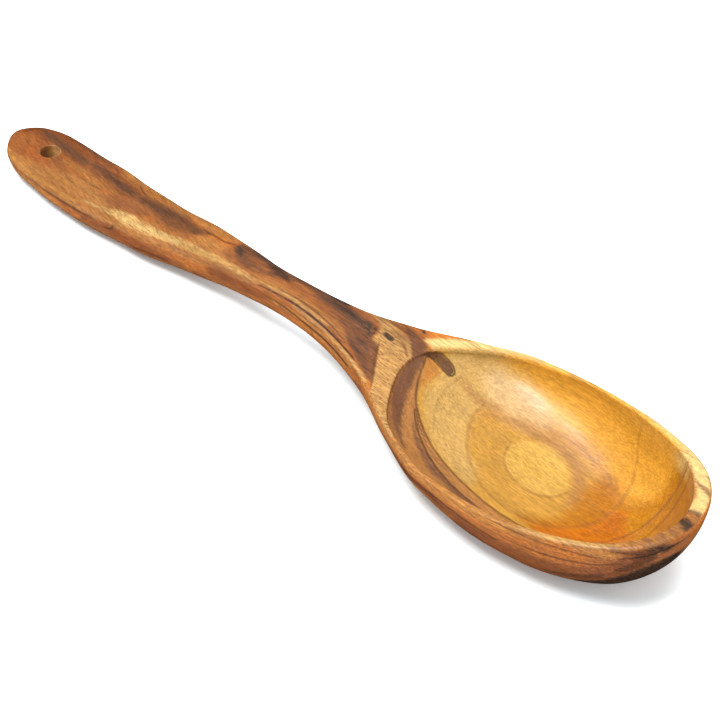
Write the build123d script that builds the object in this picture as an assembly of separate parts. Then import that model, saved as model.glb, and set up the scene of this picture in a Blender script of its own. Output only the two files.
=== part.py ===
from build123d import *
import math
import os

# A wooden serving spoon carved by hand from one billet.
# It lies as it does on a table: the handle's end and the bowl's underside touch z = 0.
# X runs from the handle's end to the bowl's tip, and the hollow opens towards +Z.
# Everything is first laid out with x = 0 at the handle's end, then centred on the origin.

LENGTH = 300.0

# Outline in plan: half of the width at each x. It closes in a round end at both tips.
HALF_WIDTH = [
    (0, 0), (2, 5.0), (8, 10.2), (20, 13.3), (45, 13.7), (70, 11.8), (100, 9.1), (120, 7.1),
    (140, 6.1), (160, 8.1), (180, 14.5), (200, 25.0), (220, 32.9), (240, 34.6), (260, 32.5),
    (280, 26.7), (290, 21.1), (298, 10.2), (300, 0),
]
# The hand-cut outline wanders a little to each side of the X axis.
SWAY = [
    (0, 3.2), (20, 1.3), (50, -0.6), (75, -0.3), (105, 0.9), (140, -0.2), (185, 0.9), (220, 0.0),
    (270, -0.9), (300, -1.4),
]
# Height of the top face, which is the handle's upper side and then the bowl's rim.
TOP = [
    (0, 6.8), (40, 10.8), (80, 14.5), (120, 20.4), (150, 23.2), (175, 22.5), (205, 21.3),
    (235, 23.6), (265, 29.2), (300, 38.2),
]
# Height of the underside along the middle: it rests at the handle's end and under the bowl.
UNDERSIDE = [
    (0, 1.6), (25, 0.3), (45, 0.0), (75, 1.3), (105, 5.4), (135, 10.8), (150, 11.1), (170, 8.5),
    (215, 4.0), (240, 0.7), (262, 0.0), (285, 5.8), (295, 14.5), (300, 23.0),
]
# How square the lower half of a section is: 2 is an ellipse, more is fuller at the corners.
SQUARENESS = [(0, 2.8), (60, 3.1), (110, 3.2), (150, 2.7), (215, 2.8), (300, 3.2)]

EDGE_RADIUS = 1.6
END_ROUNDING = 2.5
# The handle's top is crowned as far as CROWN_END, and fades flat into the rim over CROWN_FADE.
HANDLE_CROWN = 0.8
CROWN_END = 185.0
CROWN_FADE = 30.0
BODY_STATIONS = 30

# The hollow is a smooth egg sunk from the rim, carved round a wandering middle of its own.
HOLLOW_START = 189.0
HOLLOW_END = 295.0
HOLLOW_HALF_WIDTH = [
    (189, 0), (193, 12.5), (200, 20.9), (210, 26.8), (222, 30.8), (240, 32.1), (256, 30.5),
    (270, 27.0), (282, 21.8), (290, 14.0), (295, 0),
]
HOLLOW_SWAY = [
    (189, 1.5), (200, -1.3), (210, -0.3), (222, -0.4), (240, 0.0), (256, -0.6), (280, -1.7),
    (295, -2.4),
]
HOLLOW_DEPTH = [
    (189, 0), (196, 4.5), (210, 10.5), (235, 17.6), (255, 22.6), (270, 24.6), (284, 20.5),
    (292, 11.0), (295, 0),
]
HOLLOW_SQUARENESS = 2.5
# The cutting tool stands this far above the rim.
HOLLOW_CLEARANCE = 3.0
HOLLOW_STATIONS = 18

# A round hole near the handle's end, for hanging the spoon up.
HOLE_X = 20.0
HOLE_Y = 2.2
HOLE_RADIUS = 3.5
HOLE_MOUTH_ROUNDING = 0.6

# Where the points of a quarter section lie round its superellipse, in degrees from its side.
QUARTER_ANGLES = (90, 68, 48, 30, 14, 0)


def stretch(x, low, high):
    """0 to 1 from low to high, with its steps crowded towards both ends."""
    return math.acos(1 - 2 * (x - low) / (high - low)) / math.pi


def unstretch(t, low, high):
    return low + (high - low) * (1 - math.cos(math.pi * t)) / 2


def smooth(knots, x, place=lambda x: x):
    """A smooth curve through the knots, read at x. It doesn't overshoot between two knots."""
    u = [place(knot) for knot, value in knots]
    v = [value for knot, value in knots]
    steps = [b - a for a, b in zip(u, u[1:])]
    slopes = [(b - a) / step for a, b, step in zip(v, v[1:], steps)]
    tangents = [slopes[0]] + [mean_slope(*pair) for pair in zip(slopes, slopes[1:])] + [slopes[-1]]
    at = place(x)
    i = max(k for k in range(len(steps)) if k == 0 or u[k] <= at)
    s = (at - u[i]) / steps[i]
    rise = (1 + 2 * s) * (1 - s) ** 2 * v[i] + s * s * (3 - 2 * s) * v[i + 1]
    lean = s * (1 - s) ** 2 * tangents[i] - s * s * (1 - s) * tangents[i + 1]
    return rise + lean * steps[i]


def mean_slope(before, after):
    """The slope at a knot: level where the curve turns round, else the harmonic mean."""
    return 0 if before * after <= 0 else 2 * before * after / (before + after)


def along_body(x):
    return stretch(x, 0, LENGTH)


def along_hollow(x):
    return stretch(x, HOLLOW_START, HOLLOW_END)


def mid_height(x):
    return (smooth(TOP, x) + smooth(UNDERSIDE, x)) / 2


def crown(x):
    """The handle's top is slightly crowned, and the bowl's rim is flat."""
    return HANDLE_CROWN * min(1, max(0, (CROWN_END - x) / CROWN_FADE))


def end_factor(x):
    """The thickness shrinks to nothing over the last END_ROUNDING of each tip."""
    gap = min(x, LENGTH - x, END_ROUNDING) / END_ROUNDING
    return math.sqrt(1 - (1 - gap) ** 2)


def body_section(x):
    """One closed section across the body: crowned top, two rounded edges, full lower half."""
    half, middle = smooth(HALF_WIDTH, x, along_body), smooth(SWAY, x)
    centre = mid_height(x)
    reach = (smooth(TOP, x) - smooth(UNDERSIDE, x)) / 2 * end_factor(x)
    top, low = centre + reach, centre - reach
    edge = min(EDGE_RADIUS, half / 2, reach / 2)
    rise = min(crown(x), half / 8)
    power = 2 / smooth(SQUARENESS, x)
    right = [
        (0, top + rise),
        (half / 2, top + 0.75 * rise),
        (half - edge, top),
        (half - 0.3 * edge, top - 0.3 * edge),
        (half, top - edge),
    ]
    quarter = [superellipse(half, top - edge - low, angle, power) for angle in QUARTER_ANGLES]
    upper = both_sides(right)
    lower = both_sides([(across, top - edge - down) for across, down in quarter])[::-1]
    return Wire([Spline(*[(x, middle + y, z) for y, z in run]) for run in (upper, lower)])


def both_sides(right):
    """Points from the left side over the middle to the right, mirrored from the right half."""
    return [(-across, z) for across, z in right[:0:-1]] + right


def superellipse(width, height, degrees, power):
    """A point of a quarter section: across the middle and down from its top."""
    angle = math.radians(degrees)
    return width * max(0, math.cos(angle)) ** power, height * math.sin(angle) ** power


def make_body():
    """The carved blank: a loft through the sections, closed to a point at each tip."""
    stations = [unstretch(k / BODY_STATIONS, 0, LENGTH) for k in range(1, BODY_STATIONS)]
    start, end = [Vertex(x, smooth(SWAY, x), mid_height(x)) for x in (0, LENGTH)]
    return Solid.make_loft([start] + [body_section(x) for x in stations] + [end])


def hollow_section(x):
    """A section of the hollow. Its sides go on above the rim, where it cuts only air."""
    half, middle = smooth(HOLLOW_HALF_WIDTH, x, along_hollow), smooth(HOLLOW_SWAY, x)
    depth, top = smooth(HOLLOW_DEPTH, x, along_hollow), smooth(TOP, x)
    power = 2 / HOLLOW_SQUARENESS
    quarter = [superellipse(half, depth, angle, power) for angle in QUARTER_ANGLES]
    right = [(across, top - down) for across, down in quarter] + [(half, top + HOLLOW_CLEARANCE)]
    bowl = Spline(*[(x, middle + y, z) for y, z in both_sides(right)[::-1]])
    return Wire([bowl, Line(bowl @ 1, bowl @ 0)])


def make_hollow():
    """The tool that cuts the bowl's hollow down from the rim."""
    steps = [k / HOLLOW_STATIONS for k in range(1, HOLLOW_STATIONS)]
    stations = [unstretch(step, HOLLOW_START, HOLLOW_END) for step in steps]
    heights = [smooth(TOP, x) + HOLLOW_CLEARANCE for x in (HOLLOW_START, HOLLOW_END)]
    start = Vertex(HOLLOW_START, smooth(HOLLOW_SWAY, HOLLOW_START), heights[0])
    end = Vertex(HOLLOW_END, smooth(HOLLOW_SWAY, HOLLOW_END), heights[1])
    return Solid.make_loft([start] + [hollow_section(x) for x in stations] + [end])


def drill_hanging_hole(body):
    """The upright hole near the handle's end, with both of its mouths rounded."""
    drill = Pos(HOLE_X, HOLE_Y, mid_height(HOLE_X)) * Cylinder(HOLE_RADIUS, 3 * smooth(TOP, HOLE_X))
    drilled = body - drill
    mouths = [edge for edge in drilled.edges() if is_hole_mouth(edge)]
    return drilled.fillet(HOLE_MOUTH_ROUNDING, mouths)


def is_hole_mouth(edge):
    """True for the two rings where the hole meets the handle's top and underside."""
    quarters = edge.positions([0, 0.25, 0.5, 0.75])
    offsets = [math.hypot(point.X - HOLE_X, point.Y - HOLE_Y) - HOLE_RADIUS for point in quarters]
    is_whole_ring = edge.length > HOLE_RADIUS * math.tau * 0.9
    return is_whole_ring and max(abs(offset) for offset in offsets) < 0.05


def centred(solid):
    """Move the spoon so that the middle of its box's underside is the origin."""
    box = solid.bounding_box()
    return solid.moved(Location((-box.center().X, -box.center().Y, -box.min.Z)))


os.makedirs("parts", exist_ok=True)
carved = make_body() - make_hollow()
export_step(centred(drill_hanging_hole(carved)), "parts/spoon.step")
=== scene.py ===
import math
from collections import namedtuple

import bpy
import numpy as np
from mathutils import Matrix, Vector


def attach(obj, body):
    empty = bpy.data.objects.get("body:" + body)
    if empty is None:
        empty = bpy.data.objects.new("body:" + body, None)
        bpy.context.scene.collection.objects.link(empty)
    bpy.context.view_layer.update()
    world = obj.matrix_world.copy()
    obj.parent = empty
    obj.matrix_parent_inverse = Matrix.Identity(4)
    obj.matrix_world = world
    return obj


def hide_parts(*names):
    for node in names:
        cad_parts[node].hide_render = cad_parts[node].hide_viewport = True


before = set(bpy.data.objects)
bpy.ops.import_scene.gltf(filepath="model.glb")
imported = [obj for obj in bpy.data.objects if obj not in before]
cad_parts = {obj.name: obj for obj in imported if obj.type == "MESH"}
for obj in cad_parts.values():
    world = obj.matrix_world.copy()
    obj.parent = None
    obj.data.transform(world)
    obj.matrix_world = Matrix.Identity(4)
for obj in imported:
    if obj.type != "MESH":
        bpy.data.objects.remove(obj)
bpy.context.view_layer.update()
MM = 0.001

# ---- The spoon's dimensions, in millimetres, laid out with x = 0 at the handle's end ----
# A list of pairs is a curve: each pair is an x and the value there.

LENGTH = 300.0
# Outline in plan: half of the width at each x, and how far its middle wanders from the X axis.
HALF_WIDTH = [
    (0, 0), (2, 5.0), (8, 10.2), (20, 13.3), (45, 13.7), (70, 11.8), (100, 9.1), (120, 7.1),
    (140, 6.1), (160, 8.1), (180, 14.5), (200, 25.0), (220, 32.9), (240, 34.6), (260, 32.5),
    (280, 26.7), (290, 21.1), (298, 10.2), (300, 0),
]
SWAY = [
    (0, 3.2), (20, 1.3), (50, -0.6), (75, -0.3), (105, 0.9), (140, -0.2), (185, 0.9), (220, 0.0),
    (270, -0.9), (300, -1.4),
]
# Height of the handle's upper side and then the bowl's rim, and of the underside's middle.
TOP = [
    (0, 6.8), (40, 10.8), (80, 14.5), (120, 20.4), (150, 23.2), (175, 22.5), (205, 21.3),
    (235, 23.6), (265, 29.2), (300, 38.2),
]
UNDERSIDE = [
    (0, 1.6), (25, 0.3), (45, 0.0), (75, 1.3), (105, 5.4), (135, 10.8), (150, 11.1), (170, 8.5),
    (215, 4.0), (240, 0.7), (262, 0.0), (285, 5.4), (300, 18.5),
]
# Each point of the outline is joined to a point of the keel, which stops short of both tips.
KEEL = [(0, 14), (14, 20), (40, 41), (60, 60), (225, 225), (255, 249), (285, 263), (300, 266)]
# How square the lower half of a section is: 2 is an ellipse, and more is fuller at the corners.
SQUARENESS = [
    (0, 2.4), (60, 2.9), (110, 3.0), (150, 2.6), (185, 2.7), (215, 2.8), (262, 3.2), (285, 2.7),
    (300, 2.3),
]
# The radius of the rounded edge between the outer side and the top face.
OUTER_EDGE = [(0, 1.3), (150, 1.3), (190, 1.1), (230, 0.7), (265, 0.8), (300, 2.0)]
# The handle's top is crowned as far as CROWN_END, and fades flat into the rim over CROWN_FADE.
HANDLE_CROWN = 0.8
CROWN_END = 185.0
CROWN_FADE = 30.0
# The top is crowned less where half of the handle's width is below this.
FULL_CROWN_WIDTH = 8
LEAST_HALF_WIDTH = 0.01

# The knife left two waves along the handle's edges, which come in and die out over a stretch.
WAVE_HEIGHT = 0.14
WAVE_SPREADS = (3.7, 7.9)
WAVES_IN = (12, 40)
WAVES_OUT = (140, 180)

HOLLOW_START = 189.0
HOLLOW_END = 295.0
HOLLOW_HALF_WIDTH = [
    (189, 0), (193, 12.5), (200, 21.1), (210, 27.2), (222, 31.3), (240, 32.8), (256, 31.2),
    (270, 27.6), (282, 22.2), (290, 14.2), (295, 0),
]
HOLLOW_SWAY = [
    (189, 1.5), (200, -1.3), (210, -0.3), (222, -0.4), (240, 0.0), (256, -0.6), (280, -1.7),
    (295, -2.4),
]
HOLLOW_DEPTH = [
    (189, 0), (196, 4.5), (210, 10.5), (235, 17.6), (255, 22.6), (270, 24.6), (284, 20.5),
    (292, 11.0), (295, 0),
]
HOLLOW_SQUARENESS = [(189, 2.4), (262, 2.5), (295, 2.15)]
# The hollow's deepest line, which its sides run down to, stops short of the tip.
FLOOR_LINE = [(189, 189), (200, 200), (225, 224), (250, 244), (280, 259), (295, 262)]
# How round the lip of the hollow is, on the far side and on the near side.
LIP_ROUNDING = {
    1: [(189, 0.6), (198, 1.6), (215, 1.5), (235, 0.8), (262, 0.5), (295, 0.45)],
    -1: [(189, 0.6), (200, 0.45), (295, 0.45)],
}
# The stretch of the outline along which the hollow opens out from its end at the neck, and how
# far into it the lip grows to its full roundness.
OPENING = (178.0, 202.0)
LIP_FADE = 8
# From here on, the line where the handle's two sides meet runs ahead to reach the hollow's start.
MIDDLE_AHEAD_FROM = 100
# From here on, that line leaves the outline's middle for the hollow's.
MIDDLE_ACROSS_FROM = 120

# The hanging hole, and how much its radius grows at each mouth.
HOLE_X = 20.0
HOLE_Y = 2.2
HOLE_RADIUS = 3.5
HOLE_FLARE = 0.3
# The peg that cuts it, in half thicknesses of the handle: its reach, and where its flare begins.
PEG_REACH = 1.35
FLARE_START = 0.6
PEG_SIDES = 72
PEG_RINGS = 28

# How finely the mesh is divided: stations along each side, and rows across the section.
STATIONS = 700
LOWER_ROWS = 46
EDGE_ROWS = 6
TOP_ROWS = 22
LIP_ROWS = 4
HOLLOW_ROWS = 60
# How finely a curve is sampled to measure along it, to match two outlines, and for a box.
MEASURING_POINTS = 4001
MATCHING_STEPS = 900
BOX_POINTS = 2001
# Points that agree to this many decimals of a millimetre are joined.
JOINING_DECIMALS = 4


# ---- Curves ----

def smooth(knots, x, place=lambda values: values):
    """A smooth curve through the knots, read at x. It doesn't overshoot between two knots."""
    knots = np.array(knots, float)
    u, v = place(knots[:, 0]), knots[:, 1]
    steps = np.diff(u)
    slopes = np.diff(v) / steps
    before, after = slopes[:-1], slopes[1:]
    same_way = before * after > 0
    mean = 2 * before * after / np.where(same_way, before + after, 1)
    tangents = np.concatenate([slopes[:1], np.where(same_way, mean, 0), slopes[-1:]])
    at = place(np.clip(np.asarray(x, float), knots[0, 0], knots[-1, 0]))
    i = np.clip(np.searchsorted(u, at, side="right") - 1, 0, len(steps) - 1)
    s = (at - u[i]) / steps[i]
    rise = (1 + 2 * s) * (1 - s) ** 2 * v[i] + s * s * (3 - 2 * s) * v[i + 1]
    lean = s * (1 - s) ** 2 * tangents[i] - s * s * (1 - s) * tangents[i + 1]
    return rise + lean * steps[i]


def stretch(x, low, high):
    """0 to 1 from low to high, with its steps crowded towards both ends."""
    return np.arccos(np.clip(1 - 2 * (x - low) / (high - low), -1, 1)) / math.pi


def unstretch(t, low, high):
    """The x that stretch would turn into t."""
    return low + (high - low) * (1 - np.cos(math.pi * t)) / 2


def along_body(x):
    return stretch(x, 0, LENGTH)


def along_hollow(x):
    return stretch(x, HOLLOW_START, HOLLOW_END)


def ease(x, low, high):
    """0 up to low, 1 from high on, and smooth between."""
    s = np.clip((x - low) / (high - low), 0, 1)
    return s * s * (3 - 2 * s)


def top_height(x, y):
    """The handle's crowned upper side, which runs flat into the bowl's rim."""
    half = np.maximum(smooth(HALF_WIDTH, x, along_body), LEAST_HALF_WIDTH)
    off = np.clip((y - smooth(SWAY, x)) / half, -1, 1)
    faded = np.clip((CROWN_END - x) / CROWN_FADE, 0, 1)
    crown = HANDLE_CROWN * faded * np.minimum(1, half / FULL_CROWN_WIDTH)
    return smooth(TOP, x) + crown * (1 - off * off)


def superellipse(theta, power):
    """How far out from the middle and how far down a quarter section is, each from 0 to 1."""
    c, s = np.cos(theta), np.sin(theta)
    size = (c ** power + s ** power) ** (1 / power)
    return c / size, s / size


# ---- The mesh: rows of points from the keel out to the edge, over the rim and into the hollow ----

def even_stations(knots, place, low, high, count):
    """The x of points evenly spaced along one side of an outline."""
    x = unstretch(np.linspace(0, 1, MEASURING_POINTS), low, high)
    half = smooth(knots, x, place)
    run = np.concatenate([[0], np.cumsum(np.hypot(np.diff(x), np.diff(half)))])
    return np.interp(np.linspace(0, run[-1], count + 1), run, x)


def knife_waves(x, side):
    """The small unevenness that the knife left along the handle's edges."""
    faded = ease(x, *WAVES_IN) * (1 - ease(x, *WAVES_OUT))
    short, long = WAVE_SPREADS
    return WAVE_HEIGHT * faded * (np.sin(x / short + side) + np.sin(x / long + 2 * side))


def outline(x, side):
    """The spoon's outline in plan, on the far side for 1 and on the near side for -1."""
    half = smooth(HALF_WIDTH, x, along_body) + knife_waves(x, side)
    return np.stack([x, smooth(SWAY, x) + side * half], -1)


def hollow_outline(x, side):
    half = smooth(HOLLOW_HALF_WIDTH, x, along_hollow)
    return np.stack([x, smooth(HOLLOW_SWAY, x) + side * half], -1)


def inward(points, side):
    """Unit directions in plan at a right angle to a side's run, towards the spoon's middle."""
    run = np.gradient(points, axis=0)
    run[0], run[-1] = (0, side), (0, -side)
    across = np.stack([run[:, 1], -run[:, 0]], -1) * side
    return across / np.linalg.norm(across, axis=1, keepdims=True)


def matching_hollow_x(x):
    """For each station of the outline, where the nearest point of the hollow's outline is."""
    inner_x = even_stations(HOLLOW_HALF_WIDTH, along_hollow, HOLLOW_START, HOLLOW_END, MATCHING_STEPS)
    inner = np.stack([inner_x, smooth(HOLLOW_HALF_WIDTH, inner_x, along_hollow)], -1)
    outer = np.stack([x, smooth(HALF_WIDTH, x, along_body)], -1)
    nearest = ((outer[:, None] - inner[None]) ** 2).sum(-1).argmin(1)
    reach = nearest * ease(x, *OPENING)
    return np.interp(np.maximum.accumulate(reach), np.arange(len(inner_x)), inner_x)


def middle_line(x):
    """Where the two sides of the handle's top meet, for each station of the outline."""
    ahead = x + (HOLLOW_START - OPENING[0]) * ease(x, MIDDLE_AHEAD_FROM, OPENING[0])
    share = ease(ahead, MIDDLE_ACROSS_FROM, HOLLOW_START)
    return np.stack([ahead, smooth(HOLLOW_SWAY, ahead) * share + smooth(SWAY, ahead) * (1 - share)], -1)


def lay(plan, z):
    return np.concatenate([plan, np.broadcast_to(z, plan.shape[:-1])[..., None]], -1)


def lower_rows(x, edge_plan, edge_z):
    """From the keel out and up to the rounded edge."""
    keel_x = smooth(KEEL, x)
    keel = np.stack([keel_x, smooth(SWAY, keel_x)], -1)
    keel_z = smooth(UNDERSIDE, keel_x)
    power = smooth(SQUARENESS, x)
    rows = []
    for theta in np.linspace(math.pi / 2, 0, LOWER_ROWS):
        out, down = superellipse(theta, power)
        rows.append(lay(keel + (edge_plan - keel) * out[:, None], edge_z + (keel_z - edge_z) * down))
    return rows


def hollow_rows(in_x, in_handle, lip, lip_z, start_z):
    """From the lip down to the hollow's deepest line. In the handle they shrink to the middle."""
    floor_x = np.where(in_handle, lip[:, 0], smooth(FLOOR_LINE, in_x))
    floor = np.stack([floor_x, np.where(in_handle, lip[:, 1], smooth(HOLLOW_SWAY, floor_x))], -1)
    depth = smooth(HOLLOW_DEPTH, floor_x, along_hollow)
    floor_z = np.where(in_handle, lip_z, smooth(TOP, floor_x) - depth)
    power = smooth(HOLLOW_SQUARENESS, in_x)
    rows = []
    for theta in np.linspace(0, math.pi / 2, HOLLOW_ROWS)[1:]:
        out, down = superellipse(theta, power)
        rows.append(lay(floor + (lip - floor) * out[:, None], start_z + (floor_z - start_z) * down))
    return rows


def side_rows(side):
    """All rows of one side, as an array of rows by stations by xyz."""
    x = even_stations(HALF_WIDTH, along_body, 0, LENGTH, STATIONS)
    edge_plan = outline(x, side)
    inwards = inward(edge_plan, side)
    radius = smooth(OUTER_EDGE, x)
    shoulder = edge_plan + inwards * radius[:, None]
    edge_z = top_height(shoulder[:, 0], shoulder[:, 1]) - radius
    rows = lower_rows(x, edge_plan, edge_z)
    for beta in np.linspace(0, math.pi / 2, EDGE_ROWS)[1:]:
        plan = edge_plan + inwards * radius[:, None] * (1 - math.cos(beta))
        rows.append(lay(plan, edge_z + radius * math.sin(beta)))

    in_x = matching_hollow_x(x)
    in_handle = x <= OPENING[0]
    lip = np.where(in_handle[:, None], middle_line(x), hollow_outline(in_x, side))
    lip_z = top_height(lip[:, 0], lip[:, 1])
    lip_radius = smooth(LIP_ROUNDING[side], in_x) * ease(x, OPENING[0], OPENING[0] + LIP_FADE)
    lip_inwards = inward(lip, side)
    lip_shoulder = lip - lip_inwards * lip_radius[:, None]
    for share in np.linspace(0, 1, TOP_ROWS)[1:]:
        plan = shoulder + (lip_shoulder - shoulder) * share
        rows.append(lay(plan, top_height(plan[:, 0], plan[:, 1])))
    for beta in np.linspace(0, math.pi / 2, LIP_ROWS)[1:]:
        plan = lip_shoulder + lip_inwards * lip_radius[:, None] * math.sin(beta)
        rows.append(lay(plan, lip_z - lip_radius * (1 - math.cos(beta))))
    return np.array(rows + hollow_rows(in_x, in_handle, lip, lip_z, lip_z - lip_radius))


def closed_mesh():
    """Vertices and faces, with the points that both sides share joined."""
    far, near = side_rows(1), side_rows(-1)
    ring = np.concatenate([far, near[:, -2:0:-1]], 1)
    rows, count = ring.shape[:2]
    flat = ring.reshape(-1, 3)
    places = np.round(flat, JOINING_DECIMALS)
    _, first, number = np.unique(places, axis=0, return_index=True, return_inverse=True)
    number = number.reshape(rows, count)
    a, b = number[:-1], number[1:]
    quads = np.stack([a, np.roll(a, -1, 1), np.roll(b, -1, 1), b], -1).reshape(-1, 4)
    faces = []
    for quad in quads.tolist():
        corners = [v for k, v in enumerate(quad) if v != quad[k - 1]]
        if len(set(corners)) == len(corners) and len(corners) > 2:
            faces.append(corners)
    return flat[first], faces


# ---- Objects ----

def put_in_scene(name, data):
    made = bpy.data.objects.new(name, data)
    bpy.context.scene.collection.objects.link(made)
    return made


def make_object(name, points, faces):
    """A mesh object from an array of points in millimetres."""
    mesh = bpy.data.meshes.new(name)
    mesh.from_pydata((points * MM).tolist(), [], faces)
    mesh.validate()
    return put_in_scene(name, mesh)


def centring_shift():
    """What moves the laid-out spoon to the frame's origin: its box's middle, on the table."""
    x = unstretch(np.linspace(0, 1, BOX_POINTS), 0, LENGTH)
    far, near = outline(x, 1)[:, 1].max(), outline(x, -1)[:, 1].min()
    return np.array([-LENGTH / 2, -(far + near) / 2, 0])


def hole_cutter(shift):
    """A waisted peg: it flares where it leaves the handle, which rounds the hole's mouths."""
    low, high = float(smooth(UNDERSIDE, HOLE_X)), float(smooth(TOP, HOLE_X)) + HANDLE_CROWN
    middle, reach = (low + high) / 2, (high - low) / 2
    heights = np.linspace(-PEG_REACH, PEG_REACH, PEG_RINGS)
    points, faces = [], []
    for height in heights:
        flared = max(0, abs(height) - FLARE_START) / (1 - FLARE_START)
        radius = HOLE_RADIUS + HOLE_FLARE * flared ** 2
        for angle in np.arange(PEG_SIDES) * math.tau / PEG_SIDES:
            x, y = HOLE_X + radius * math.cos(angle), HOLE_Y + radius * math.sin(angle)
            points.append((x, y, middle + height * reach))
    for start in range(0, (PEG_RINGS - 1) * PEG_SIDES, PEG_SIDES):
        for a in range(PEG_SIDES):
            b = (a + 1) % PEG_SIDES
            faces.append([start + a, start + b, start + PEG_SIDES + b, start + PEG_SIDES + a])
    faces.append(list(range(PEG_SIDES - 1, -1, -1)))
    faces.append([(PEG_RINGS - 1) * PEG_SIDES + a for a in range(PEG_SIDES)])
    return make_object("hole_cutter", np.array(points) + shift, faces)


def drill(spoon, cutter):
    cut = spoon.modifiers.new("hole", "BOOLEAN")
    cut.operation = "DIFFERENCE"
    cut.solver = "EXACT"
    cut.object = cutter
    bpy.context.view_layer.objects.active = spoon
    bpy.ops.object.modifier_apply(modifier=cut.name)
    bpy.data.objects.remove(cutter)


def make_spoon():
    points, faces = closed_mesh()
    shift = centring_shift()
    spoon = make_object("carved_spoon", points + shift, faces)
    drill(spoon, hole_cutter(shift))
    spoon.data.polygons.foreach_set("use_smooth", [True] * len(spoon.data.polygons))
    paint_fields(spoon, shift)
    spoon.data.materials.append(make_wood())
    return spoon


# ---- The wood's figure, and a few marks of painted light and shade ----
# Each mark lays another colour over part of one zone: areas with a closed outline, and bands,
# which are paths with their half width at each point. Places are in the laid-out millimetres.
# They are (x, z) in the zone "side", the outer side, and (x, y) in all others: "edge", the outer
# side too, "bore", the hole's wall, "top" and "hollow". A later mark lies over an earlier one.

Mark = namedtuple("Mark", "zone colour softness raggedness strength areas bands", defaults=[[]])
# A field doesn't go further than this from a mark's edge.
MARK_RANGE = 5.0
# Points further than this outside a band's or a line's box aren't measured against it.
BAND_MARGIN = 3.0
# A mark ends at its zone's border this many times as fast as at its own edge.
BORDER_STEEPNESS = 3
# The zone "side" starts this far below the top face, and keeps this far from the hollow.
SIDE_DROP = 0.45
LIP_MARGIN = 0.6
# A point whose normal has a lower z than this isn't part of the hollow's wall.
STEEPEST_WALL = -0.2
# The hollow's outline is measured with this many steps to each side.
OUTLINE_STATIONS = 48
# The zone "bore" reaches this far from the hole's axis.
BORE_REACH = 3.6

SIDE_MARKS = [
    ("sienna_light", 2, 2, 0.9, [
        [(183, 23), (184, 15), (204, 17), (232, 19), (252, 20), (276, 20), (284, 26), (272, 31),
         (240, 26), (200, 24)],
        [(86, 20), (90, 10), (110, 12), (112, 17), (104, 21)],
        [(140, 18.4), (176, 18.2), (178, 13), (150, 12), (138, 14)],
    ], [[(30, 7, 1.5), (50, 7.5, 1.8)]]),
    ("honey_side", 1.6, 1.6, 0.8, [], [
        [(276, 30.6, 0.8), (282, 31, 1.8), (287, 31.6, 1.4)],
        [(10, 4.6, 0.6), (16, 5.2, 1.2), (28, 6, 1.6), (42, 6.6, 1)],
        [(204, 15.4, 0.4), (216, 14, 1.2), (226, 13.2, 0.6)],
    ]),
    ("honey_side", 1, 1.2, 0.85, [], [
        [(184, 21, 1), (196, 19.5, 1.6), (208, 19.2, 2.4), (222, 20.4, 2.2), (240, 22.6, 1.6),
         (256, 25, 1.2), (268, 27.8, 0.6)],
        [(62, 12.4, 0.2), (76, 13.6, 0.7), (96, 15.8, 0.8), (112, 18, 0.6)],
        [(122, 18.6, 0.2), (134, 19.4, 0.7), (146, 20.6, 1), (160, 21.4, 0.9), (176, 20.8, 0.6)],
        [(150, 17.6, 0.3), (164, 17.6, 0.9), (178, 17, 0.6)],
    ]),
    ("sienna_dark", 1.4, 2.2, 0.92, [
        [(236, 15), (252, 17), (264, 18.6), (276, 20.5), (286, 27), (289, 33.5), (294, 35.6), (296.4, 32),
         (293, 22), (288, 14), (272, 6), (250, 6), (235, 10)],
    ], [
        [(12, 8.2, 0.4), (22, 9.2, 0.7), (40, 10, 0.8), (52, 10.8, 0.9), (60, 10.6, 1.2), (66, 12, 0.4)],
        [(54, 8.4, 1), (62, 9.4, 1.8), (72, 9.4, 2.6), (85, 9.6, 2.2), (92, 9, 1.6), (97, 10, 0.6)],
        [(102, 9, 0.8), (105, 10, 0.8)],
        [(110, 15, 2.4), (120, 17, 2.8), (128, 18.6, 2.3), (136, 19.6, 1)],
        [(204, 15.6, 0.6), (212, 16.6, 1.8), (222, 17, 1.9), (236, 16.4, 1.4), (250, 16, 1.6)],
    ]),
    ("walnut_side", 0.7, 1.2, 0.85, [], [
        [(206, 16, 0.2), (214, 16.4, 1), (224, 16.8, 0.6), (232, 16.2, 0.2)],
        [(20, 8.8, 0.1), (34, 9.7, 0.5), (50, 10.7, 0.5), (60, 11.3, 0.1)],
        [(284, 33.6, 0.4), (290, 34.6, 1.4), (294, 34, 2.2), (293, 29, 1.8), (288, 24, 1.2)],
        [(268, 12.5, 0.6), (277, 15, 1.4), (284, 19.5, 1.2)],
        [(76, 7.4, 0.3), (84, 8.4, 0.9), (90, 8.6, 0.3)],
    ]),
    ("soot", 1.2, 1.4, 0.97, [
        [(266, 7.4), (276, 10.8), (283, 15.8), (288, 20.2), (292, 24.4), (295.4, 27.6), (299, 29.6),
         (301, 25), (295, 14), (288, 9), (276, 4)],
    ], [[(293, 37, 1.4), (296, 35.2, 1.5), (297.4, 33, 0.6)]]),
]
EDGE_MARKS = [
    ("sienna_light", 2.2, 2.2, 0.9, [
        [(288, -5), (306, -5), (306, 34), (256, 42), (262, 16)],
    ]),
]
BORE_MARKS = [
    ("gold", 0.4, 0.6, 0.9, [[(14, -6), (14, 12), (26, 12), (26, -6)]]),
    # Painted shadow: a dark crescent on the hole's wall on the handle's-end side, where the wall lies in
    # shade.
    ("umber", 0.8, 1, 0.8, [[(14, -3), (17, -3), (17.4, 2), (16.8, 5), (14, 5)]]),
    # Pale end grain on the lit part of the hole's wall, brightened with painted light.
    ("end_grain_and_painted_light", 1.2, 1, 0.95, [[(18.2, 3), (19.6, 0), (26, -1), (26, 8), (18.4, 8)]]),
]
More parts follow.
